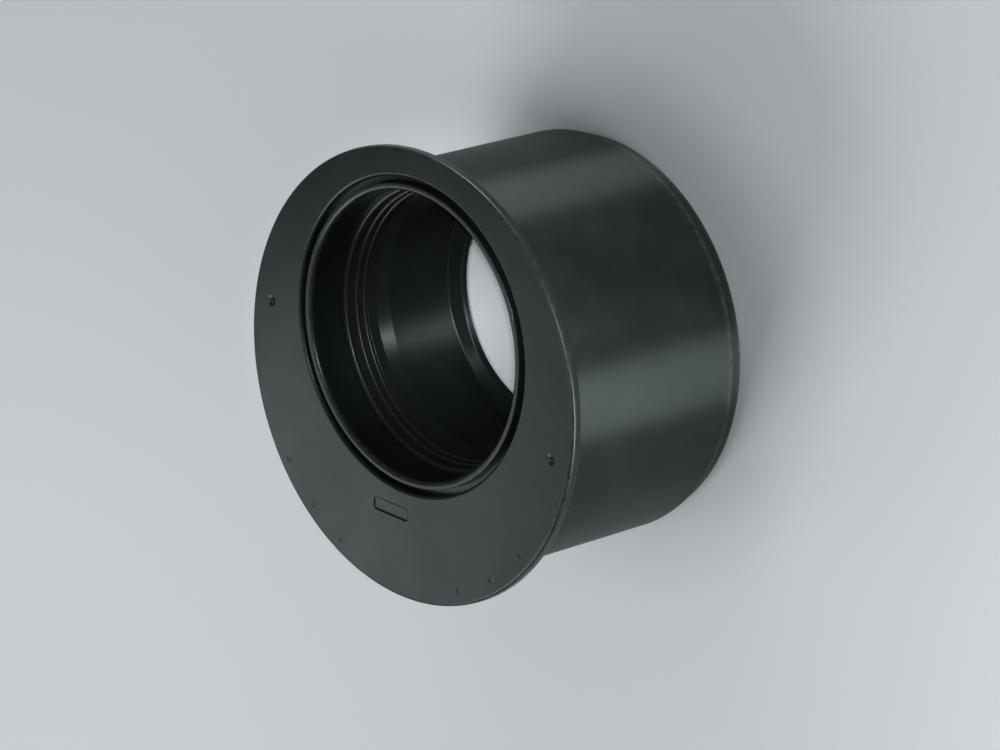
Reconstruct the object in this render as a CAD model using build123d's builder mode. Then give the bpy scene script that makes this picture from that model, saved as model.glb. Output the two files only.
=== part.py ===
from build123d import *
import os

# Short eccentric pipe reducer: a 110 mm spigot with a flange across its front,
# and an offset push-fit socket for a 75 mm pipe moulded inside it.
# It stands on the open end of the spigot, with the socket's mouth on top.
# Lengths are in millimetres, +Z is up, and Z is the axis of the spigot.

# Spigot and flange
overall_h = 70.0
spigot_r = 55.0
spigot_wall = 3.7
lead_in_h = 5.0
lead_in_step = 1.6
flange_rise = 6.5
flange_t = 3.0
web_t = 3.2
root_fillet = 1.2
rim_front_round = 1.0
rim_back_round = 0.6
edge_round = 0.5
bore_draft = 0.5

# Socket, moulded to one side so that little wall is left beside its seal chamber
pipe_r = 37.5
pipe_clearance = 0.1
near_wall = 2.75
tube_h = 21.4
tube_draft = 0.4
tube_wall = 2.9
stop_lip_w = 5.2
stop_lip_t = 1.9
stop_lip_round = 0.6
horn_gap = 3.0

# Seal chamber, open to the front, with a sloped step down to the tube
chamber_step = 3.0
chamber_wall = 2.6
cone_h = 4.2
seat_w = 0.8
mouth_gap_w = 1.6
mouth_gap_depth = 3.0
mouth_round = 1.0

# Retaining ring
ring_fit = 0.1
ring_clearance = 1.3
ring_h = 11.4
ring_recess = 0.1
ring_round = 0.3
ring_lead_in = 1.2
snap_depth = 6.4
snap_h = 1.6
snap_rise = 0.4

# Lip seal
seal_fit = 0.1
seal_h = 12.3
seal_front_step = 0.2
lip_squeeze = 0.8
lip_h = 7.1
lip_t = 1.1
seal_back_t = 1.7
hollow_h = 3.9
heel_clearance = 1.2
heel_h = 3.4
rib_drops = (1.0, 4.1, 6.3)
rib_radii = (0.85, 0.65, 0.55)

# Moulding marks on the flange's face
gate_inset = 0.6
gate_angles = (83.0, 263.0)
gate_pad_r = 1.6
gate_nib_r = 0.6
gate_depth = 0.35
pin_inset = 4.2
pin_angles = (128.5, 143.0, 156.5, 203.5, 217.0, 231.5)
pin_mark_r = 1.1
pin_mark_depth = 0.25
panel_standoff = 6.65
panel_y = 4.3
panel_across = 4.4
panel_along = 14.0
panel_round = 0.8
panel_depth = 0.3

# How far a cut runs past the face that it opens
cut_over = 1.0

face_z = overall_h
flange_r = spigot_r + flange_rise
flange_under_z = face_z - flange_t
pocket_top_z = face_z - web_t
bore_r = spigot_r - spigot_wall
tip_r = spigot_r - lead_in_step
mid_wall_r = spigot_r - spigot_wall / 2
tube_low_r = pipe_r + pipe_clearance
tube_high_r = tube_low_r + tube_draft
tube_outer_r = tube_high_r + tube_wall
stop_lip_r = pipe_r - stop_lip_w
chamber_r = tube_high_r + chamber_step
chamber_outer_r = chamber_r + chamber_wall
mouth_gap_r = chamber_r + mouth_gap_w
ring_top_z = face_z - ring_recess
seal_front_z = ring_top_z - ring_h
chamber_floor_z = seal_front_z - seal_h
cone_bottom_z = chamber_floor_z - cone_h
lip_top_z = cone_bottom_z - tube_h
lip_bottom_z = lip_top_z - stop_lip_t
socket_offset = spigot_r - near_wall - chamber_r
socket_axis = Axis((socket_offset, 0, 0), (0, 0, 1))


def outline(axis_x, corners):
    """Closed half section from rows of radius, height and corner rounding."""
    with BuildSketch(Plane.XZ) as section:
        with BuildLine():
            FilletPolyline(
                *[(axis_x + radius, height) for radius, height, rounding in corners],
                radius=[rounding for radius, height, rounding in corners],
                close=True,
            )
        make_face()
    return section.sketch


def around_pocket(wall_outer_r):
    """What the crescent pocket leaves solid, its horns rounded where it narrows."""
    with BuildSketch() as pocket:
        Circle(bore_r)
        with Locations((socket_offset, 0)):
            Circle(wall_outer_r, mode=Mode.SUBTRACT)
        offset(amount=-horn_gap / 2, mode=Mode.REPLACE)
        offset(amount=horn_gap / 2, mode=Mode.REPLACE)
    with BuildSketch() as solid:
        Circle(mid_wall_r)
        add(pocket.sketch, mode=Mode.SUBTRACT)
    return solid.sketch


# Socket wall: tube stage, chamber stage and the slope between them
with BuildPart() as socket_wall:
    with BuildSketch(Plane.XY.offset(lip_bottom_z)):
        add(around_pocket(tube_outer_r))
    extrude(amount=chamber_floor_z - lip_bottom_z)
    pocket_rim = socket_wall.faces().sort_by(Axis.Z)[0].inner_wires()[0].edges()
    fillet(pocket_rim, radius=edge_round)
    with BuildSketch(Plane.XY.offset(chamber_floor_z)):
        add(around_pocket(chamber_outer_r))
    extrude(amount=face_z - web_t / 2 - chamber_floor_z)
    revolve(
        outline(
            socket_offset,
            [
                (0, lip_top_z, 0),
                (tube_outer_r, lip_top_z, 0),
                (tube_outer_r, cone_bottom_z, cone_h / 2),
                (chamber_outer_r, chamber_floor_z, 0),
                (0, chamber_floor_z, 0),
            ],
        ),
        axis=socket_axis,
    )
    with BuildSketch(Plane.XY.offset(lip_bottom_z)):
        Circle(mid_wall_r)
    extrude(amount=face_z - lip_bottom_z, mode=Mode.INTERSECT)

# Reducer body: spigot, flange, web and socket in one moulding
with BuildPart() as reducer_body:
    revolve(
        outline(
            0,
            [
                (0, 0, 0),
                (tip_r, 0, edge_round),
                (spigot_r, lead_in_h, edge_round),
                (spigot_r, flange_under_z, root_fillet),
                (flange_r, flange_under_z, rim_back_round),
                (flange_r, face_z, rim_front_round),
                (0, face_z, 0),
            ],
        ),
        axis=Axis.Z,
    )
    revolve(
        outline(
            0,
            [
                (0, 0, 0),
                (bore_r + edge_round, 0, 0),
                (bore_r, edge_round, 0),
                (bore_r - bore_draft, pocket_top_z, root_fillet),
                (0, pocket_top_z, 0),
            ],
        ),
        axis=Axis.Z,
        mode=Mode.SUBTRACT,
    )
    add(socket_wall.part)
    revolve(
        outline(
            socket_offset,
            [
                (0, lip_bottom_z - cut_over, 0),
                (stop_lip_r, lip_bottom_z - cut_over, 0),
                (stop_lip_r, lip_top_z, stop_lip_round),
                (tube_low_r, lip_top_z, stop_lip_round),
                (tube_high_r, cone_bottom_z, edge_round),
                (chamber_r - seat_w, chamber_floor_z, edge_round),
                (chamber_r, chamber_floor_z, 0),
                (chamber_r, face_z - snap_depth - snap_h - snap_rise, 0),
                (chamber_r + snap_rise, face_z - snap_depth - snap_h, 0),
                (chamber_r + snap_rise, face_z - snap_depth, 0),
                (chamber_r, face_z - snap_depth + snap_rise, 0),
                (chamber_r, face_z - mouth_gap_depth, 0),
                (mouth_gap_r, face_z - mouth_gap_depth, 0),
                (mouth_gap_r, face_z + cut_over, 0),
                (0, face_z + cut_over, 0),
            ],
        ),
        axis=socket_axis,
        mode=Mode.SUBTRACT,
    )
    mouth_edge = reducer_body.edges().group_by(Axis.Z)[-1].sort_by(SortBy.RADIUS)[0]
    fillet(mouth_edge, radius=mouth_round)
    # Shallow marks of the mould's pins and gates, and a bare recessed panel
    with BuildSketch(Plane.XY.offset(face_z - pin_mark_depth)):
        for angle in pin_angles:
            with PolarLocations(flange_r - pin_inset, 1, start_angle=angle):
                Circle(pin_mark_r)
    extrude(amount=pin_mark_depth + cut_over, mode=Mode.SUBTRACT)
    with BuildSketch(Plane.XY.offset(face_z - gate_depth)):
        for angle in gate_angles:
            with PolarLocations(spigot_r - gate_inset, 1, start_angle=angle):
                Circle(gate_pad_r)
                Circle(gate_nib_r, mode=Mode.SUBTRACT)
    extrude(amount=gate_depth + cut_over, mode=Mode.SUBTRACT)
    with BuildSketch(Plane.XY.offset(face_z - panel_depth)):
        with Locations((socket_offset - mouth_gap_r - panel_standoff, panel_y)):
            RectangleRounded(panel_across, panel_along, panel_round)
    extrude(amount=panel_depth + cut_over, mode=Mode.SUBTRACT)
reducer_body.part.label = "reducer_body"

# Lip seal: a rubber ring with a rearward lip that carries three rounded ribs
ring_inner_r = pipe_r + ring_clearance
seal_outer_r = chamber_r - seal_fit
hollow_r = seal_outer_r - seal_back_t
heel_r = pipe_r + heel_clearance
lip_root_r = ring_inner_r - seal_front_step
lip_tip_r = pipe_r - lip_squeeze
lip_tip_z = seal_front_z - lip_h
lip_slope = (lip_root_r - lip_tip_r) / lip_h
heel_z = chamber_floor_z + heel_h
with BuildPart() as lip_seal:
    revolve(
        outline(
            socket_offset,
            [
                (seal_outer_r, chamber_floor_z, 0),
                (seal_outer_r, seal_front_z, 0),
                (lip_root_r, seal_front_z, 0),
                (lip_tip_r, lip_tip_z, lip_t / 4),
                (lip_tip_r + lip_t, lip_tip_z, lip_t / 4),
                (hollow_r, seal_front_z - hollow_h, lip_t / 2),
                (hollow_r + lip_t / 2, heel_z, lip_t / 4),
                (heel_r, heel_z, lip_t / 4),
                (heel_r, chamber_floor_z, lip_t / 4),
            ],
        ),
        axis=socket_axis,
    )
    for drop, rib_r in zip(rib_drops, rib_radii):
        with BuildSketch(Plane.XZ):
            with Locations((socket_offset + lip_root_r - lip_slope * drop, seal_front_z - drop)):
                Circle(rib_r)
        revolve(axis=socket_axis)
lip_seal.part.label = "lip_seal"

# Retaining ring: its bead snaps into the chamber's groove and holds the seal down
ring_outer_r = chamber_r - ring_fit
bead_top_z = face_z - snap_depth - ring_fit
with BuildPart() as retaining_ring:
    revolve(
        outline(
            socket_offset,
            [
                (ring_inner_r, seal_front_z, 0),
                (ring_outer_r, seal_front_z, 0),
                (ring_outer_r, bead_top_z + ring_fit - snap_h, 0),
                (ring_outer_r + snap_rise, bead_top_z - snap_h / 2, 0),
                (ring_outer_r + snap_rise, bead_top_z, 0),
                (ring_outer_r, bead_top_z + snap_rise, 0),
                (ring_outer_r, ring_top_z, ring_round),
                (ring_inner_r, ring_top_z, ring_lead_in),
            ],
        ),
        axis=socket_axis,
    )
retaining_ring.part.label = "retaining_ring"

os.makedirs("parts", exist_ok=True)
export_step(reducer_body.part, "parts/reducer_body.step")
export_step(lip_seal.part, "parts/lip_seal.step")
export_step(retaining_ring.part, "parts/retaining_ring.step")
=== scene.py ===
import math

import bmesh
import bpy
from bpy.props import FloatProperty, FloatVectorProperty, IntProperty, PointerProperty
from mathutils import Matrix, Vector


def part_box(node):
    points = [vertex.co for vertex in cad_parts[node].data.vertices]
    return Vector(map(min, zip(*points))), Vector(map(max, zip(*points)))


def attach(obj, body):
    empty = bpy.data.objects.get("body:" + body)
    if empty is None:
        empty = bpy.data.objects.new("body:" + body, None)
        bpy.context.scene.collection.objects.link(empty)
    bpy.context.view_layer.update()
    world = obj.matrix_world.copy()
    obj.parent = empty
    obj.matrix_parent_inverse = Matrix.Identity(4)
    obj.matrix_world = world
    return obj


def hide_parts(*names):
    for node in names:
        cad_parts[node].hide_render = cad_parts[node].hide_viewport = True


bl_info = {
    "name": "Short Pipe Reducer",
    "version": (1, 0, 0),
    "blender": (4, 5, 0),
    "location": "View3D > Sidebar > Reducer",
    "description": "Models a moulded eccentric pipe reducer with its seal, ring and studio stage",
    "category": "Object",
}

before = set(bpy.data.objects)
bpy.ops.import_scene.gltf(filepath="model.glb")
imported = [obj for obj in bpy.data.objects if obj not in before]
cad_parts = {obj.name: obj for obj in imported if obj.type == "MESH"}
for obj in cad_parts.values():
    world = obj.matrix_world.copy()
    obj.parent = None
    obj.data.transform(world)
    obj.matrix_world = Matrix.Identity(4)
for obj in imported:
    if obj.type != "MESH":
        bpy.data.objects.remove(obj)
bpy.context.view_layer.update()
BODY_LOW, BODY_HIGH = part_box("reducer_body")
RING_LOW, RING_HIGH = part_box("retaining_ring")
SEAL_LOW, SEAL_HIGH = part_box("lip_seal")

FACE_Z = BODY_HIGH.z
SOCKET_X = (RING_LOW.x + RING_HIGH.x) / 2
CUT_OVER = 0.001
HAIR = 0.00001


def length(label, words, value):
    """A size in metres, as the sidebar shows it."""
    return FloatProperty(
        name=label, description=words, default=value, min=0.0, unit="LENGTH", precision=5
    )


def share(label, words, value):
    """A number from nothing to all."""
    return FloatProperty(
        name=label, description=words, default=value, min=0.0, max=1.0, subtype="FACTOR"
    )


def colour(label, words, value):
    """A linear colour."""
    return FloatVectorProperty(
        name=label, description=words, default=value, min=0.0, max=1.0, size=3, subtype="COLOR"
    )


def watts(label, words, value):
    """The power of a lamp."""
    return FloatProperty(name=label, description=words, default=value, min=0.0, unit="POWER")


def degrees(label, words, value):
    """An angle, given in degrees."""
    return FloatProperty(
        name=label, description=words, default=math.radians(value), subtype="ANGLE"
    )


class ReducerBodySizes(bpy.types.PropertyGroup):
    """Sizes of the one-piece moulding"""

    spigot_radius: length("Spigot radius", "Outside of the spigot", 0.055)
    spigot_wall: length("Spigot wall", "Thickness of the spigot's wall", 0.0037)
    lead_in_height: length("Lead-in height", "Height of the taper at the open end", 0.005)
    lead_in_step: length("Lead-in step", "How far the taper draws in", 0.0016)
    flange_thickness: length("Flange thickness", "Thickness of the flange's rim", 0.003)
    web_thickness: length("Web thickness", "Thickness of the front wall", 0.0032)
    root_fillet: length("Root fillet", "Rounding between spigot and flange", 0.0012)
    rim_front: length("Rim front rounding", "Rounding of the rim's front edge", 0.001)
    rim_back: length("Rim back rounding", "Rounding of the rim's back edge", 0.0006)
    edge_round: length("Edge rounding", "Rounding of all other edges", 0.0005)
    bore_draft: length("Bore draft", "How far the spigot's bore narrows inwards", 0.0005)
    tube_radius: length("Tube radius", "Inside of the socket's tube at its stop", 0.0376)
    tube_draft: length("Tube draft", "How far the tube widens towards the seal", 0.0004)
    tube_wall: length("Tube wall", "Thickness of the tube's wall", 0.0029)
    socket_depth: length("Socket depth", "From the face to the stop lip", 0.0494)
    stop_radius: length("Stop lip radius", "Hole inside the stop lip", 0.0323)
    stop_thickness: length("Stop lip thickness", "Thickness of the stop lip", 0.0019)
    stop_round: length("Stop lip rounding", "Rounding at the stop lip", 0.0006)
    horn_gap: length("Horn gap", "Pocket width at which its rounded end begins", 0.003)
    chamber_radius: length("Chamber radius", "Inside of the seal's chamber", 0.041)
    chamber_wall: length("Chamber wall", "Thickness of the chamber's wall", 0.0026)
    chamber_depth: length("Chamber depth", "From the face to the seal's seat", 0.0238)
    cone_height: length("Cone height", "Height of the slope below the seat", 0.0042)
    cone_step: length("Seat width", "Flat seat left at the slope's top", 0.0008)
    gap_radius: length("Gap radius", "Outside of the gap round the ring", 0.0426)
    gap_depth: length("Gap depth", "Depth of the gap round the ring", 0.003)
    mouth_round: length("Mouth rounding", "Rounding of the face's edge at the gap", 0.001)
    snap_depth: length("Snap groove depth", "From the face to the snap groove", 0.0064)
    snap_height: length("Snap groove height", "Height of the snap groove", 0.0016)
    snap_rise: length("Snap groove rise", "How far the groove cuts outwards", 0.0004)


class MouldMarkSizes(bpy.types.PropertyGroup):
    """Sizes of the marks that the mould leaves on the face"""

    gate_ring: length("Gate circle", "Radius of the circle of gates", 0.0544)
    gate_radius: length("Gate radius", "Radius of one gate's pad", 0.0016)
    gate_depth: length("Gate depth", "Depth of one gate's pad", 0.00035)
    nib_radius: length("Nib radius", "Radius of the stub left in a gate", 0.0006)
    pin_ring: length("Pin circle", "Radius of the circle of pin marks", 0.0573)
    pin_radius: length("Pin mark radius", "Radius of one pin mark", 0.0011)
    pin_depth: length("Pin mark depth", "Depth of one pin mark", 0.0001)
    panel_x: FloatProperty(
        name="Panel X", description="Middle of the bare panel", default=-0.038, unit="LENGTH"
    )
    panel_y: FloatProperty(
        name="Panel Y", description="Middle of the bare panel", default=0.0043, unit="LENGTH"
    )
    panel_width: length("Panel width", "Width of the bare panel", 0.0044)
    panel_length: length("Panel length", "Length of the bare panel", 0.014)
    panel_round: length("Panel corner", "Corner rounding of the bare panel", 0.0014)
    panel_slope: length("Panel slope", "Rounding between the bare panel's floor and sides", 0.001)
    panel_depth: length("Panel depth", "Depth of the bare panel", 0.0003)


class RingSizes(bpy.types.PropertyGroup):
    """Sizes of the retaining ring"""

    inner_radius: length("Inner radius", "Inside of the ring", 0.0388)
    fit: length("Fit", "Clearance to the chamber's wall", 0.0001)
    edge_round: length("Edge rounding", "Rounding of the ring's outer front edge", 0.0003)
    lead_in: length("Lead-in rounding", "Rounding of the ring's inner front edge", 0.0012)


class SealSizes(bpy.types.PropertyGroup):
    """Sizes of the lip seal"""

    root_radius: length("Root radius", "Inside of the lip where it starts", 0.0386)
    tip_radius: length("Tip radius", "Inside of the lip at its tip", 0.0367)
    tip_drop: length("Tip drop", "From the seal's front to the lip's tip", 0.0071)
    lip_thickness: length("Lip thickness", "Thickness of the lip", 0.0011)
    hollow_radius: length("Hollow radius", "Inside of the ring behind the lip", 0.0392)
    hollow_drop: length("Hollow drop", "From the seal's front to the hollow's root", 0.0039)
    heel_radius: length("Heel radius", "Inside of the heel", 0.0387)
    heel_height: length("Heel height", "Height of the heel", 0.0034)


class FinishLook(bpy.types.PropertyGroup):
    """Colours and gloss of plastic and rubber"""

    plastic: colour("Plastic", "Colour of the moulded plastic", (0.0065, 0.0082, 0.0081))
    # Lighter colour along turned edges: wear, and a painted highlight where these edges catch the light.
    rubbed: colour("Rubbed plastic", "Colour of edges rubbed in use", (0.05, 0.058, 0.056))
    rubber: colour("Rubber", "Colour of the seal", (0.0085, 0.0095, 0.0098))
    dust: colour("Dust", "Colour of fine dust", (0.1, 0.11, 0.108))
    dust_amount: share("Dust amount", "How much dust lies on the part", 0.08)
    specular: share("Specular", "Strength of the sheen of plastic and rubber", 0.3)
    sheen: colour("Sheen", "Tint of the sheen of plastic and rubber", (0.8, 1.0, 0.96))
    face_roughness: share("Face roughness", "Roughness of the flange's face", 0.3)
    spigot_roughness: share("Spigot roughness", "Roughness of the spigot", 0.4)
    spigot_grain: share("Spigot grain", "How far the turned mould draws out its sheen", 0.95)
    ring_roughness: share("Ring roughness", "Roughness of the retaining ring", 0.28)
    rubber_roughness: share("Rubber roughness", "Roughness of the seal", 0.4)


class StageLook(bpy.types.PropertyGroup):
    """Floor, light and camera"""

    floor: colour("Floor", "Colour of the pale floor", (0.74, 0.77, 0.8))
    air: colour("Air", "Colour of the room's even light", (0.93, 0.97, 1.0))
    air_strength: share("Air strength", "Strength of the room's even light", 0.16)
    back_watts: watts("Back panel", "Power of the panel behind the part", 5.0)
    top_watts: watts("Top panel", "Power of the panel above the part", 2.5)
    face_watts: watts("Face panel", "Power of the small panel that the face mirrors", 0.19)
    left_watts: watts("Left strip", "Power of the strip at the camera's left", 2.4)
    right_watts: watts("Right strip", "Power of the strip at the camera's right", 1.3)
    spot_watts: watts("Mouth spot", "Power of the spot that looks into the socket", 70.0)
    steps: IntProperty(
        name="Steps", description="Facets round each turned piece", default=240, min=24
    )
    camera_azimuth: degrees("Camera azimuth", "Turn of the camera round the part", 26.276)
    camera_elevation: degrees("Camera elevation", "Height of the camera", 41.715)
    camera_roll: degrees("Camera roll", "Turn of the camera about its own line of sight", 105.36)
    camera_distance: length("Camera distance", "From the camera to its aim", 1.33036)
    camera_lens: FloatProperty(name="Lens", description="Focal length in mm", default=180.0)


def sizes():
    """The sidebar's settings."""
    return bpy.context.scene.reducer


def tangent_length(before, corner, after, rounding):
    """How far from a corner its rounding starts."""
    back = Vector(before[:2]) - Vector(corner[:2])
    ahead = Vector(after[:2]) - Vector(corner[:2])
    return rounding / math.tan(back.angle(ahead) / 2)


def lathe(rows, axis_x, steps, segments=4):
    """A bmesh turned about an upright axis from rows of radius, height and rounding.

    Rows that start and end on the axis close there; other rows close on themselves."""
    bm = bmesh.new()
    verts = [bm.verts.new((axis_x + radius, 0, height)) for radius, height, _ in rows]
    on_axis = rows[0][0] == 0
    ends = verts[1:] if on_axis else verts[1:] + verts[:1]
    edges = [bm.edges.new(pair) for pair in zip(verts, ends)]
    bmesh.ops.spin(
        bm,
        geom=verts + edges,
        cent=(axis_x, 0, 0),
        axis=(0, 0, 1),
        angle=math.tau,
        steps=steps,
        use_merge=True,
    )
    bmesh.ops.remove_doubles(bm, verts=bm.verts, dist=HAIR / 10)
    bmesh.ops.recalc_face_normals(bm, faces=bm.faces)
    for here, (radius, height, rounding) in enumerate(rows):
        if rounding == 0:
            continue
        setback = tangent_length(
            rows[here - 1], rows[here], rows[(here + 1) % len(rows)], rounding
        )
        round_edges(bm, ring_edges(bm, axis_x, radius, height), setback, segments)
    return bm


def ring_edges(bm, axis_x, radius, height):
    """The edges of one turned corner."""

    def on_ring(vert):
        reach = math.hypot(vert.co.x - axis_x, vert.co.y)
        return abs(reach - radius) < HAIR and abs(vert.co.z - height) < HAIR

    return [e for e in bm.edges if all(on_ring(v) for v in e.verts)]


def place(bm, name):
    """A bmesh as an object of the scene."""
    mesh = bpy.data.meshes.new(name)
    bm.to_mesh(mesh)
    bm.free()
    piece = bpy.data.objects.new(name, mesh)
    bpy.context.scene.collection.objects.link(piece)
    return piece


def carve(target, tool, operation):
    """Joins, cuts or keeps the common part of two solids, and drops the tool."""
    modifier = target.modifiers.new(operation.lower(), "BOOLEAN")
    modifier.operation = operation
    modifier.solver = "EXACT"
    modifier.object = tool
    deps = bpy.context.evaluated_depsgraph_get()
    result = bpy.data.meshes.new_from_object(target.evaluated_get(deps))
    target.modifiers.clear()
    old = target.data
    target.data = result
    bpy.data.meshes.remove(old)
    bpy.data.objects.remove(tool)


def smooth(piece, sharp_above=math.radians(33)):
    """Smooth shading with true flats, and hard edges only at real corners."""
    bm = bmesh.new()
    bm.from_mesh(piece.data)
    for face in bm.faces:
        face.smooth = True
    for edge in bm.edges:
        edge.smooth = edge.calc_face_angle(math.pi) < sharp_above
    bm.to_mesh(piece.data)
    bm.free()
    weighted = piece.modifiers.new("true flats", "WEIGHTED_NORMAL")
    weighted.keep_sharp = True
    weighted.weight = 100


def hand_over(piece, node, slot, *materials):
    """Gives a piece its materials and ties it to the frame."""
    piece.data.materials.clear()
    for material in materials:
        piece.data.materials.append(material)
    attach(piece, "root")
    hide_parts(node)


def body_outside(look, steps):
    """Spigot and flange as one solid of revolution."""
    under = FACE_Z - look.flange_thickness
    return lathe(
        [
            (0, 0, 0),
            (look.spigot_radius - look.lead_in_step, 0, look.edge_round),
            (look.spigot_radius, look.lead_in_height, look.edge_round),
            (look.spigot_radius, under, look.root_fillet),
            (BODY_HIGH.x, under, look.rim_back),
            (BODY_HIGH.x, FACE_Z, look.rim_front),
            (0, FACE_Z, 0),
        ],
        0,
        steps,
        segments=6,
    )


def body_bore(look, steps):
    """Everything inside the spigot's wall, up to the front web."""
    bore = look.spigot_radius - look.spigot_wall
    ceiling = FACE_Z - look.web_thickness
    return lathe(
        [
            (0, -CUT_OVER, 0),
            (bore + look.edge_round + CUT_OVER, -CUT_OVER, 0),
            (bore, look.edge_round, look.edge_round),
            (bore - look.bore_draft, ceiling, look.root_fillet),
            (0, ceiling, 0),
        ],
        0,
        steps,
    )


def socket_wall(look, steps):
    """The socket's wall as it stands in the spigot's bore, with the pocket's horns rounded."""
    bore = look.spigot_radius - look.spigot_wall
    low = FACE_Z - look.socket_depth - look.stop_thickness
    seat = FACE_Z - look.chamber_depth
    top = FACE_Z - look.web_thickness / 2
    tube = look.tube_radius + look.tube_draft + look.tube_wall
    chamber = look.chamber_radius + look.chamber_wall
    wall = place(
        lathe(
            [
                (0, low, 0),
                (tube, low, look.edge_round),
                (tube, seat - look.cone_height, look.cone_height / 2),
                (chamber, seat, look.cone_height / 2),
                (chamber, top, 0),
                (0, top, 0),
            ],
            SOCKET_X,
            steps,
        ),
        "socket_wall",
    )
    for outside, bottom, roof in ((tube, low, seat), (chamber, seat, top)):
        end = horn_centre(bore, outside, look.horn_gap / 2)
        carve(wall, place(sector(math.atan2(end.y, end.x), bottom, roof), "fill"), "UNION")
        for side in (1, -1):
            horn = post((end.x, side * end.y), look.horn_gap / 2, bottom - CUT_OVER, roof)
            carve(wall, place(horn, "horn"), "DIFFERENCE")
    middle = look.spigot_radius - look.spigot_wall / 2
    core = lathe([(0, 0, 0), (middle, 0, 0), (middle, FACE_Z, 0), (0, FACE_Z, 0)], 0, steps)
    carve(wall, place(core, "core"), "INTERSECT")
    return wall


def horn_centre(bore, outside, horn):
    """Where a circle of the horn's radius touches both the bore and the socket's wall."""
    from_spigot = bore - horn
    from_socket = outside + horn
    x = (from_spigot**2 - from_socket**2 + SOCKET_X**2) / (2 * SOCKET_X)
    return Vector((x, math.sqrt(from_spigot**2 - x**2), 0))


def sector(half_angle, bottom, roof):
    """A wedge from the spigot's axis about +X, as wide as the angle on both sides."""
    bm = block((0, -1, bottom), (1, 1, roof))
    for side in (1, -1):
        outwards = Vector((-math.sin(half_angle), side * math.cos(half_angle), 0))
        cut = bmesh.ops.bisect_plane(
            bm,
            geom=bm.verts[:] + bm.edges[:] + bm.faces[:],
            plane_co=(0, 0, 0),
            plane_no=outwards,
            clear_outer=True,
        )
        rim = [g for g in cut["geom_cut"] if isinstance(g, bmesh.types.BMEdge)]
        bmesh.ops.holes_fill(bm, edges=rim)
    bmesh.ops.recalc_face_normals(bm, faces=bm.faces)
    return bm


def post(centre, radius, bottom, roof):
    """An upright round post."""
    middle = Vector((*centre, (bottom + roof) / 2))
    bm = bmesh.new()
    bmesh.ops.create_cone(
        bm,
        cap_ends=True,
        segments=48,
        radius1=radius,
        radius2=radius,
        depth=roof - bottom,
        matrix=Matrix.Translation(middle),
    )
    return bm


def block(low, high):
    """A box between two corners."""
    size = Vector(high) - Vector(low)
    middle = (Vector(high) + Vector(low)) / 2
    bm = bmesh.new()
    bmesh.ops.create_cube(bm, size=1, matrix=Matrix.LocRotScale(middle, None, size))
    return bm


def socket_hole(look, steps):
    """Mouth gap, snap groove, seal chamber, slope, tube and stop lip in one turned cut."""
    seat = FACE_Z - look.chamber_depth
    stop = FACE_Z - look.socket_depth
    low = stop - look.stop_thickness - CUT_OVER
    groove = FACE_Z - look.snap_depth
    flare = look.gap_radius + 2 * look.mouth_round
    return lathe(
        [
            (0, low, 0),
            (look.stop_radius, low, 0),
            (look.stop_radius, stop, look.stop_round),
            (look.tube_radius, stop, look.stop_round),
            (look.tube_radius + look.tube_draft, seat - look.cone_height, look.edge_round),
            (look.chamber_radius - look.cone_step, seat, look.edge_round),
            (look.chamber_radius, seat, 0),
            (look.chamber_radius, groove - look.snap_height - look.snap_rise, 0),
            (look.chamber_radius + look.snap_rise, groove - look.snap_height, 0),
            (look.chamber_radius + look.snap_rise, groove, 0),
            (look.chamber_radius, groove + look.snap_rise, 0),
            (look.chamber_radius, FACE_Z - look.gap_depth, 0),
            (look.gap_radius, FACE_Z - look.gap_depth, 0),
            (look.gap_radius, FACE_Z + HAIR, look.mouth_round),
            (flare, FACE_Z + HAIR, 0),
            (flare, FACE_Z + CUT_OVER, 0),
            (0, FACE_Z + CUT_OVER, 0),
        ],
        SOCKET_X,
        steps,
    )


def on_circle(radius, angle):
    """A place on the face, by radius and angle in degrees."""
    turn = math.radians(angle)
    return Vector((radius * math.cos(turn), radius * math.sin(turn), FACE_Z))


def dish(place_at, radius, depth):
    """A ball that cuts a shallow round dish into the face."""
    ball = (radius**2 + depth**2) / (2 * depth)
    centre = place_at + Vector((0, 0, ball - depth))
    bm = bmesh.new()
    bmesh.ops.create_uvsphere(
        bm, u_segments=64, v_segments=96, radius=ball, matrix=Matrix.Translation(centre)
    )
    return bm


def bare_panel(marks):
    """The tool for the shallow bare panel, with rounded corners and floor."""
    middle = Vector((marks.panel_x, marks.panel_y, FACE_Z))
    half = Vector((marks.panel_width / 2, marks.panel_length / 2, 0))
    bm = block(
        middle - half - Vector((0, 0, marks.panel_depth)), middle + half + Vector((0, 0, CUT_OVER))
    )
    upright = [e for e in bm.edges if e.verts[0].co.xy == e.verts[1].co.xy]
    round_edges(bm, upright, marks.panel_round)
    floor = FACE_Z - marks.panel_depth + HAIR
    round_edges(bm, [e for e in bm.edges if all(v.co.z < floor for v in e.verts)], marks.panel_slope)
    return bm


def round_edges(bm, edges, offset, segments=6):
    """Rounds some edges of a bmesh."""
    bmesh.ops.bevel(
        bm,
        geom=edges,
        offset=offset,
        offset_type="OFFSET",
        segments=segments,
        profile=0.5,
        affect="EDGES",
        material=-1,
    )


def stub(place_at, radius, turn):
    """The torn stub that a gate leaves: a low ridge, turned askew."""
    bm = bmesh.new()
    bmesh.ops.create_icosphere(bm, subdivisions=3, radius=radius)
    size = Matrix.Diagonal((1.6, 0.6, 0.5, 1.0))
    askew = Matrix.Rotation(turn, 4, "Z")
    bmesh.ops.transform(bm, matrix=Matrix.Translation(place_at) @ askew @ size, verts=bm.verts)
    return bm


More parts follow.
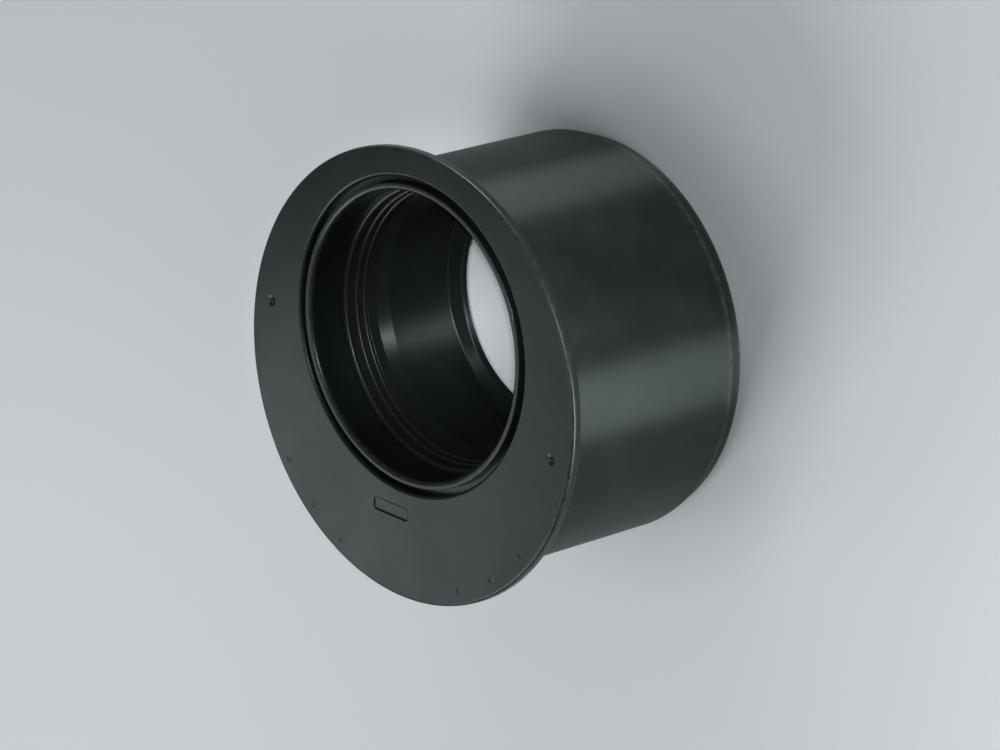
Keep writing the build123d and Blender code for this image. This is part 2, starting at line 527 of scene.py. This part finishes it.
def mark_face(body, marks):
    """Cuts the mould's gates and pin marks and the bare panel into the face."""
    for angle in (83.0, 263.0):
        at = on_circle(marks.gate_ring, angle)
        carve(body, place(dish(at, marks.gate_radius, marks.gate_depth), "gate"), "DIFFERENCE")
        torn = at - Vector((0, 0, marks.gate_depth))
        carve(body, place(stub(torn, marks.nib_radius, math.radians(angle - 35)), "stub"), "UNION")
    for angle in (128.5, 143.0, 156.5, 203.5, 217.0, 231.5):
        at = on_circle(marks.pin_ring, angle)
        carve(body, place(dish(at, marks.pin_radius, marks.pin_depth), "pin"), "DIFFERENCE")
    carve(body, place(bare_panel(marks), "panel"), "DIFFERENCE")


def new_group(name, inputs, outputs):
    """A shader node group with float, vector or colour sockets."""
    group = bpy.data.node_groups.new(name, "ShaderNodeTree")
    for label, kind, value in inputs:
        socket = group.interface.new_socket(label, in_out="INPUT", socket_type=kind)
        if value is not None:
            socket.default_value = value
    for label, kind in outputs:
        group.interface.new_socket(label, in_out="OUTPUT", socket_type=kind)
    inlet = group.nodes.new("NodeGroupInput")
    outlet = group.nodes.new("NodeGroupOutput")
    return group, inlet, outlet


def noise(tree, vector, scale, detail=4.0, rough=0.5):
    """A noise texture's node."""
    node = tree.nodes.new("ShaderNodeTexNoise")
    node.inputs["Scale"].default_value = scale
    node.inputs["Detail"].default_value = detail
    node.inputs["Roughness"].default_value = rough
    tree.links.new(vector, node.inputs["Vector"])
    return node


def ranged(tree, value, low, high, to_low, to_high):
    """A Map Range node; each end is a number or a socket."""
    node = tree.nodes.new("ShaderNodeMapRange")
    tree.links.new(value, node.inputs["Value"])
    for label, end in (
        ("From Min", low),
        ("From Max", high),
        ("To Min", to_low),
        ("To Max", to_high),
    ):
        if isinstance(end, bpy.types.NodeSocket):
            tree.links.new(end, node.inputs[label])
        else:
            node.inputs[label].default_value = end
    return node.outputs["Result"]


def maths(tree, operation, *values):
    """A Math node; each value is a number or a socket."""
    node = tree.nodes.new("ShaderNodeMath")
    node.operation = operation
    for socket, value in zip(node.inputs, values):
        if isinstance(value, bpy.types.NodeSocket):
            tree.links.new(value, socket)
        else:
            socket.default_value = value
    return node.outputs["Value"]


def moulded_skin():
    """Skin of a moulded surface: a fine height and an uneven roughness."""
    group, inlet, outlet = new_group(
        "moulded skin",
        [
            ("Vector", "NodeSocketVector", None),
            ("Roughness", "NodeSocketFloat", 0.4),
            ("Spread", "NodeSocketFloat", 0.05),
        ],
        [("Height", "NodeSocketFloat"), ("Roughness", "NodeSocketFloat")],
    )
    vector = inlet.outputs["Vector"]
    grain = noise(group, vector, 2200.0, 3.0, 0.6).outputs["Fac"]
    cloud = noise(group, vector, 45.0, 5.0, 0.55).outputs["Fac"]
    uneven = maths(group, "MULTIPLY", ranged(group, cloud, 0.3, 0.7, -1.0, 1.0), inlet.outputs["Spread"])
    group.links.new(grain, outlet.inputs["Height"])
    group.links.new(
        maths(group, "ADD", uneven, inlet.outputs["Roughness"]), outlet.inputs["Roughness"]
    )
    return group


def draw_lines():
    """Faint lines along the axis, where the moulding slid out of its mould."""
    group, inlet, outlet = new_group(
        "draw lines", [("Vector", "NodeSocketVector", None)], [("Lines", "NodeSocketFloat")]
    )
    along = group.nodes.new("ShaderNodeMapping")
    along.inputs["Scale"].default_value = (1.0, 1.0, 0.02)
    group.links.new(inlet.outputs["Vector"], along.inputs["Vector"])
    fine = noise(group, along.outputs["Vector"], 1500.0, 3.0, 0.6).outputs["Fac"]
    broad = noise(group, along.outputs["Vector"], 160.0, 2.0, 0.5).outputs["Fac"]
    lines = maths(group, "MULTIPLY", ranged(group, fine, 0.45, 0.7, 0.0, 1.0), broad)
    group.links.new(lines, outlet.inputs["Lines"])
    return group


def settled_dust():
    """Thin dust with a few specks: one mask."""
    group, inlet, outlet = new_group(
        "settled dust",
        [("Vector", "NodeSocketVector", None), ("Amount", "NodeSocketFloat", 0.2)],
        [("Mask", "NodeSocketFloat")],
    )
    vector, amount = inlet.outputs["Vector"], inlet.outputs["Amount"]
    cloud = noise(group, vector, 38.0, 6.0, 0.65).outputs["Fac"]
    specks = noise(group, vector, 1100.0, 2.0, 0.5).outputs["Fac"]
    film = ranged(group, cloud, 0.45, 0.8, 0.0, amount)
    grains = ranged(group, specks, 0.7, 0.76, 0.0, amount)
    group.links.new(maths(group, "ADD", film, grains), outlet.inputs["Mask"])
    return group


def edge_rub():
    """Wear and a painted highlight along one turned edge, given by the edge's radius and height: a mask."""
    group, inlet, outlet = new_group(
        "edge rub",
        [
            ("Vector", "NodeSocketVector", None),
            ("Radius", "NodeSocketFloat", 0.05),
            ("Height", "NodeSocketFloat", 0.0),
            ("Width", "NodeSocketFloat", 0.001),
        ],
        [("Mask", "NodeSocketFloat")],
    )
    vector = inlet.outputs["Vector"]
    parts = group.nodes.new("ShaderNodeSeparateXYZ")
    group.links.new(vector, parts.inputs["Vector"])
    x, y, z = (parts.outputs[name] for name in "XYZ")
    reach = maths(
        group, "SQRT", maths(group, "ADD", maths(group, "MULTIPLY", x, x), maths(group, "MULTIPLY", y, y))
    )
    aside = maths(group, "SUBTRACT", reach, inlet.outputs["Radius"])
    above = maths(group, "SUBTRACT", z, inlet.outputs["Height"])
    distance = maths(
        group,
        "SQRT",
        maths(group, "ADD", maths(group, "MULTIPLY", aside, aside), maths(group, "MULTIPLY", above, above)),
    )
    near = ranged(group, distance, 0.0, inlet.outputs["Width"], 1.0, 0.0)
    broken = noise(group, vector, 420.0, 5.0, 0.7).outputs["Fac"]
    rubbed = maths(group, "MULTIPLY", near, ranged(group, broken, 0.35, 0.65, 0.0, 1.0))
    group.links.new(rubbed, outlet.inputs["Mask"])
    return group


def grouped(tree, make, **values):
    """A shared effect in a material, with its own values."""
    name = make.__name__.replace("_", " ")
    node = tree.nodes.new("ShaderNodeGroup")
    node.node_tree = bpy.data.node_groups.get(name) or make()
    for label, value in values.items():
        if isinstance(value, bpy.types.NodeSocket):
            tree.links.new(value, node.inputs[label])
        else:
            node.inputs[label].default_value = value
    return node


def blended(tree, mask, first, second):
    """Two colours mixed by a mask; each is a linear colour or a socket."""
    node = tree.nodes.new("ShaderNodeMix")
    node.data_type = "RGBA"
    sockets = [socket for socket in node.inputs if socket.type == "RGBA"]
    for socket, value in zip(sockets, (first, second)):
        if isinstance(value, bpy.types.NodeSocket):
            tree.links.new(value, socket)
        else:
            socket.default_value = (*value, 1)
    tree.links.new(mask, node.inputs[0])
    return next(socket for socket in node.outputs if socket.type == "RGBA")


def new_material(name, finish):
    """A material with its shader and the piece's own coordinates."""
    material = bpy.data.materials.new(name)
    material.use_nodes = True
    tree = material.node_tree
    shader = tree.nodes["Principled BSDF"]
    shader.inputs["IOR"].default_value = 1.49
    shader.inputs["Specular IOR Level"].default_value = finish.specular
    shader.inputs["Specular Tint"].default_value = (*finish.sheen, 1)
    places = tree.nodes.new("ShaderNodeTexCoord")
    centred = tree.nodes.new("ShaderNodeMapping")
    tree.links.new(places.outputs["Object"], centred.inputs["Vector"])
    return material, tree, shader, centred


def roughened(tree, shader, height, strength, distance):
    """A Bump node between a height and the shader's normal."""
    relief = tree.nodes.new("ShaderNodeBump")
    relief.inputs["Strength"].default_value = strength
    relief.inputs["Distance"].default_value = distance
    tree.links.new(height, relief.inputs["Height"])
    tree.links.new(relief.outputs["Normal"], shader.inputs["Normal"])


def body_plastic(finish, name, roughness, edges):
    """The moulding's plastic, lighter along some turned edges from wear and painted highlight, with draw
    lines and dust.

    Each edge is a radius, a height and the width of its rub."""
    material, tree, shader, centred = new_material(name, finish)
    vector = centred.outputs["Vector"]
    skin = grouped(tree, moulded_skin, Vector=vector, Roughness=roughness, Spread=0.03)
    lines = grouped(tree, draw_lines, Vector=vector).outputs["Lines"]
    dust = grouped(tree, settled_dust, Vector=vector, Amount=finish.dust_amount).outputs["Mask"]
    rubs_and_highlights = [
        grouped(tree, edge_rub, Vector=vector, Radius=radius, Height=height, Width=width)
        for radius, height, width in edges
    ]
    rubbed = rubs_and_highlights[0].outputs["Mask"]
    for rub in rubs_and_highlights[1:]:
        rubbed = maths(tree, "MAXIMUM", rubbed, rub.outputs["Mask"])
    # The listed edges are lighter in colour: wear, and a painted highlight; the same mask also roughens
    # them.
    worn_and_highlit = maths(tree, "MULTIPLY", rubbed, 0.55)
    clean = blended(tree, worn_and_highlit, finish.plastic, finish.rubbed)
    tree.links.new(blended(tree, dust, clean, finish.dust), shader.inputs["Base Color"])
    rough = maths(tree, "MULTIPLY_ADD", lines, 0.08, skin.outputs["Roughness"])
    rough = maths(tree, "MULTIPLY_ADD", rubbed, 0.12, rough)
    tree.links.new(rough, shader.inputs["Roughness"])
    relief = maths(tree, "MULTIPLY_ADD", lines, 0.6, skin.outputs["Height"])
    roughened(tree, shader, relief, 0.35, 0.00002)
    return material


def spigot_plastic(finish):
    """The plastic below the flange: its turned mould draws the sheen out along the axis."""
    body = sizes().body
    material = body_plastic(
        finish,
        "spigot plastic",
        finish.spigot_roughness,
        [
            # Lighter bands at the open end and at the top of the taper: wear, and painted highlight.
            (body.spigot_radius - body.lead_in_step, 0.0, 0.0022),
            (body.spigot_radius, body.lead_in_height, 0.0014),
        ],
    )
    shader = material.node_tree.nodes["Principled BSDF"]
    shader.inputs["Anisotropic"].default_value = finish.spigot_grain
    shader.inputs["Anisotropic Rotation"].default_value = 0.25
    return material


def face_plastic(finish):
    """The plastic of the flange's face and rim."""
    # The rim's front edge is lighter: wear, and a painted highlight along it.
    return body_plastic(
        finish, "face plastic", finish.face_roughness, [(BODY_HIGH.x, FACE_Z, 0.0016)]
    )


def ring_plastic(finish):
    """The retaining ring: the same plastic, smoother, lighter at its lead-in from wear and painted
    highlight.
    """
    material, tree, shader, centred = new_material("ring plastic", finish)
    centred.inputs["Location"].default_value = (-SOCKET_X, 0, 0)
    vector = centred.outputs["Vector"]
    skin = grouped(
        tree, moulded_skin, Vector=vector, Roughness=finish.ring_roughness, Spread=0.03
    )
    dust = grouped(tree, settled_dust, Vector=vector, Amount=finish.dust_amount * 0.7).outputs["Mask"]
    rubbed = grouped(
        tree, edge_rub, Vector=vector, Radius=sizes().ring.inner_radius, Height=RING_HIGH.z, Width=0.002
    ).outputs["Mask"]
    # The lead-in edge is lighter in colour: wear, and a painted highlight along it.
    clean = blended(tree, maths(tree, "MULTIPLY", rubbed, 0.4), finish.plastic, finish.rubbed)
    tree.links.new(blended(tree, dust, clean, finish.dust), shader.inputs["Base Color"])
    tree.links.new(skin.outputs["Roughness"], shader.inputs["Roughness"])
    roughened(tree, shader, skin.outputs["Height"], 0.3, 0.00002)
    return material


def seal_rubber(finish):
    """The seal: black rubber with smears of the grease it is fitted with."""
    material, tree, shader, centred = new_material("seal rubber", finish)
    centred.inputs["Location"].default_value = (-SOCKET_X, 0, 0)
    vector = centred.outputs["Vector"]
    skin = grouped(
        tree, moulded_skin, Vector=vector, Roughness=finish.rubber_roughness, Spread=0.08
    )
    smears = noise(tree, vector, 90.0, 4.0, 0.6).outputs["Fac"]
    greased = ranged(tree, smears, 0.5, 0.62, 0.0, 1.0)
    dust = grouped(tree, settled_dust, Vector=vector, Amount=finish.dust_amount * 0.5).outputs["Mask"]
    tree.links.new(blended(tree, dust, finish.rubber, finish.dust), shader.inputs["Base Color"])
    rough = maths(tree, "MULTIPLY_ADD", greased, -0.12, skin.outputs["Roughness"])
    tree.links.new(rough, shader.inputs["Roughness"])
    roughened(tree, shader, skin.outputs["Height"], 0.25, 0.000015)
    return material


class REDUCER_OT_body(bpy.types.Operator):
    """Models the moulding: spigot, flange, socket and the marks on its face"""

    bl_idname = "reducer.body"
    bl_label = "Reducer Body"

    def execute(self, context):
        look = sizes().body
        steps = sizes().stage.steps
        body = place(body_outside(look, steps), "reducer_moulding")
        carve(body, place(body_bore(look, steps), "bore"), "DIFFERENCE")
        carve(body, socket_wall(look, steps), "UNION")
        carve(body, place(socket_hole(look, steps), "hole"), "DIFFERENCE")
        mark_face(body, sizes().marks)
        smooth(body)
        finish = sizes().finish
        hand_over(body, "reducer_body", "body_plastic", face_plastic(finish), spigot_plastic(finish))
        under = FACE_Z - look.flange_thickness
        for face in body.data.polygons:
            face.material_index = 0 if face.center.z > under else 1
        return {"FINISHED"}


class REDUCER_OT_ring(bpy.types.Operator):
    """Models the retaining ring that is snapped into the mouth"""

    bl_idname = "reducer.ring"
    bl_label = "Retaining Ring"

    def execute(self, context):
        look = sizes().ring
        body = sizes().body
        outer = body.chamber_radius - look.fit
        bead = FACE_Z - body.snap_depth - look.fit
        ring = place(
            lathe(
                [
                    (look.inner_radius, RING_LOW.z, 0.0002),
                    (outer, RING_LOW.z, 0.0002),
                    (outer, bead - body.snap_height + look.fit, 0),
                    (outer + body.snap_rise, bead - body.snap_height / 2, 0),
                    (outer + body.snap_rise, bead, 0),
                    (outer, bead + body.snap_rise, 0),
                    (outer, RING_HIGH.z, look.edge_round),
                    (look.inner_radius, RING_HIGH.z, look.lead_in),
                ],
                SOCKET_X,
                sizes().stage.steps,
                segments=6,
            ),
            "snap_ring",
        )
        smooth(ring)
        hand_over(ring, "retaining_ring", "ring_plastic", ring_plastic(sizes().finish))
        return {"FINISHED"}


class REDUCER_OT_seal(bpy.types.Operator):
    """Models the rubber lip seal with its rounded ribs"""

    bl_idname = "reducer.seal"
    bl_label = "Lip Seal"

    def execute(self, context):
        look = sizes().seal
        front = SEAL_HIGH.z
        seat = SEAL_LOW.z
        outer = (SEAL_HIGH.x - SEAL_LOW.x) / 2
        edge = look.lip_thickness / 4
        seal = place(
            lathe(
                [
                    (outer, seat, 0),
                    (outer, front, 0),
                    (look.root_radius, front, 0),
                    (look.tip_radius, front - look.tip_drop, edge),
                    (look.tip_radius + look.lip_thickness, front - look.tip_drop, edge),
                    (look.hollow_radius, front - look.hollow_drop, edge),
                    (look.hollow_radius + 2 * edge, seat + look.heel_height, edge),
                    (look.heel_radius, seat + look.heel_height, edge),
                    (look.heel_radius, seat, edge),
                ],
                SOCKET_X,
                sizes().stage.steps,
            ),
            "rubber_lip_seal",
        )
        slope = (look.root_radius - look.tip_radius) / look.tip_drop
        for drop, radius in ((0.001, 0.00085), (0.0041, 0.00065), (0.0063, 0.00055)):
            carve(seal, place(rib(look.root_radius - slope * drop, front - drop, radius), "rib"), "UNION")
        smooth(seal)
        hand_over(seal, "lip_seal", "seal_rubber", seal_rubber(sizes().finish))
        return {"FINISHED"}


def rib(reach, height, radius):
    """One round rib of the seal, turned about the socket's axis."""
    bm = bmesh.new()
    bmesh.ops.create_circle(
        bm,
        segments=20,
        radius=radius,
        matrix=Matrix.Translation((SOCKET_X + reach, 0, height)) @ Matrix.Rotation(math.pi / 2, 4, "X"),
    )
    bmesh.ops.spin(
        bm,
        geom=bm.verts[:] + bm.edges[:],
        cent=(SOCKET_X, 0, 0),
        axis=(0, 0, 1),
        angle=math.tau,
        steps=sizes().stage.steps,
        use_merge=True,
    )
    bmesh.ops.remove_doubles(bm, verts=bm.verts, dist=HAIR / 10)
    bmesh.ops.recalc_face_normals(bm, faces=bm.faces)
    return bm


def heading(azimuth, elevation):
    """The direction from the part towards a place at that azimuth and elevation."""
    return Vector(
        (
            math.sin(azimuth) * math.cos(elevation),
            -math.cos(azimuth) * math.cos(elevation),
            math.sin(elevation),
        )
    )


def hang(name, lamp, azimuth, elevation, distance, aim):
    """A lamp's object, out of the camera's sight, that looks at its aim."""
    holder = bpy.data.objects.new(name, lamp)
    towards = heading(azimuth, elevation)
    holder.location = aim + towards * distance
    holder.rotation_euler = towards.to_track_quat("Z", "Y").to_euler()
    holder.visible_camera = False
    bpy.context.scene.collection.objects.link(holder)


def soft_panel(name, azimuth, elevation, distance, width, height, watts, low=0.05):
    """A soft area lamp that looks at the part, at the height low over the floor."""
    lamp = bpy.data.lights.new(name, "AREA")
    lamp.shape = "RECTANGLE"
    lamp.size = width
    lamp.size_y = height
    lamp.energy = watts
    middle = Vector((0, 0, low))
    hang(name, lamp, math.radians(azimuth), math.radians(elevation), distance, middle)


def mouth_spot(look):
    """A narrow soft spot beside the camera that lights the inside of the socket."""
    lamp = bpy.data.lights.new("mouth spot", "SPOT")
    lamp.spot_size = math.radians(3.4)
    lamp.spot_blend = 0.25
    lamp.shadow_soft_size = 0.03
    lamp.energy = look.spot_watts
    mouth = Vector((SOCKET_X, 0, 0.055))
    hang("mouth spot", lamp, look.camera_azimuth, look.camera_elevation, 1.2, mouth)


def add_camera(look):
    """The camera at the photograph's viewing angle."""
    camera = bpy.data.cameras.new("camera")
    camera.lens = look.camera_lens
    camera.sensor_width = 36.0
    camera.clip_end = 20.0
    holder = bpy.data.objects.new("camera", camera)
    towards = heading(look.camera_azimuth, look.camera_elevation)
    aim = Vector((-0.005873, -0.000937, 0.036974))
    turn = towards.to_track_quat("Z", "Y").to_matrix().to_4x4()
    roll = Matrix.Rotation(-look.camera_roll, 4, "Z")
    holder.matrix_world = Matrix.Translation(aim + towards * look.camera_distance) @ turn @ roll
    bpy.context.scene.collection.objects.link(holder)
    bpy.context.scene.camera = holder


def add_floor(look):
    """The pale floor that the part stands on."""
    bm = bmesh.new()
    bmesh.ops.create_circle(
        bm,
        cap_ends=True,
        segments=96,
        radius=4.0,
        matrix=Matrix.Translation((0, 0, -HAIR)),
    )
    floor = place(bm, "floor")
    material = bpy.data.materials.new("pale floor")
    material.use_nodes = True
    shader = material.node_tree.nodes["Principled BSDF"]
    shader.inputs["Base Color"].default_value = (*look.floor, 1)
    shader.inputs["Roughness"].default_value = 0.9
    shader.inputs["Specular IOR Level"].default_value = 0.1
    floor.data.materials.append(material)


class REDUCER_OT_stage(bpy.types.Operator):
    """Lays the floor, hangs the soft light and sets the camera"""

    bl_idname = "reducer.stage"
    bl_label = "Stage"

    def execute(self, context):
        look = sizes().stage
        add_floor(look)
        soft_panel("back panel", 245, 42, 1.2, 0.5, 0.5, look.back_watts)
        soft_panel("top panel", 206, 80, 1.2, 0.5, 0.5, look.top_watts)
        soft_panel("face panel", 212, 36, 0.45, 0.15, 0.15, look.face_watts)
        soft_panel("left strip", 352, 0, 0.45, 0.24, 0.05, look.left_watts, low=0.038)
        soft_panel("right strip", 98, 0, 0.45, 0.2, 0.05, look.right_watts, low=0.038)
        mouth_spot(look)
        world = bpy.data.worlds.new("room")
        world.use_nodes = True
        air = world.node_tree.nodes["Background"].inputs
        air["Color"].default_value = (*look.air, 1)
        air["Strength"].default_value = look.air_strength
        bpy.context.scene.world = world
        bpy.context.scene.view_settings.view_transform = "Standard"
        add_camera(look)
        return {"FINISHED"}


class ReducerSettings(bpy.types.PropertyGroup):
    """All settings of the reducer"""

    body: PointerProperty(type=ReducerBodySizes)
    marks: PointerProperty(type=MouldMarkSizes)
    ring: PointerProperty(type=RingSizes)
    seal: PointerProperty(type=SealSizes)
    finish: PointerProperty(type=FinishLook)
    stage: PointerProperty(type=StageLook)


class REDUCER_PT_sidebar(bpy.types.Panel):
    """The reducer's sidebar"""

    bl_label = "Short Pipe Reducer"
    bl_idname = "REDUCER_PT_sidebar"
    bl_space_type = "VIEW_3D"
    bl_region_type = "UI"
    bl_category = "Reducer"

    def draw(self, context):
        settings = context.scene.reducer
        for title, group, operator in (
            ("Moulding", settings.body, "reducer.body"),
            ("Face marks", settings.marks, None),
            ("Retaining ring", settings.ring, "reducer.ring"),
            ("Lip seal", settings.seal, "reducer.seal"),
            ("Finish", settings.finish, None),
            ("Stage", settings.stage, "reducer.stage"),
        ):
            box = self.layout.box()
            box.label(text=title)
            for name in group.__annotations__:
                box.prop(group, name)
            if operator:
                box.operator(operator)


CLASSES = (
    ReducerBodySizes,
    MouldMarkSizes,
    RingSizes,
    SealSizes,
    FinishLook,
    StageLook,
    ReducerSettings,
    REDUCER_OT_body,
    REDUCER_OT_ring,
    REDUCER_OT_seal,
    REDUCER_OT_stage,
    REDUCER_PT_sidebar,
)


def register():
    for cls in CLASSES:
        bpy.utils.register_class(cls)
    bpy.types.Scene.reducer = PointerProperty(type=ReducerSettings)


def unregister():
    del bpy.types.Scene.reducer
    for cls in reversed(CLASSES):
        bpy.utils.unregister_class(cls)


def main():
    register()
    bpy.ops.reducer.body()
    bpy.ops.reducer.ring()
    bpy.ops.reducer.seal()
    bpy.ops.reducer.stage()


if __name__ == "__main__":
    main()
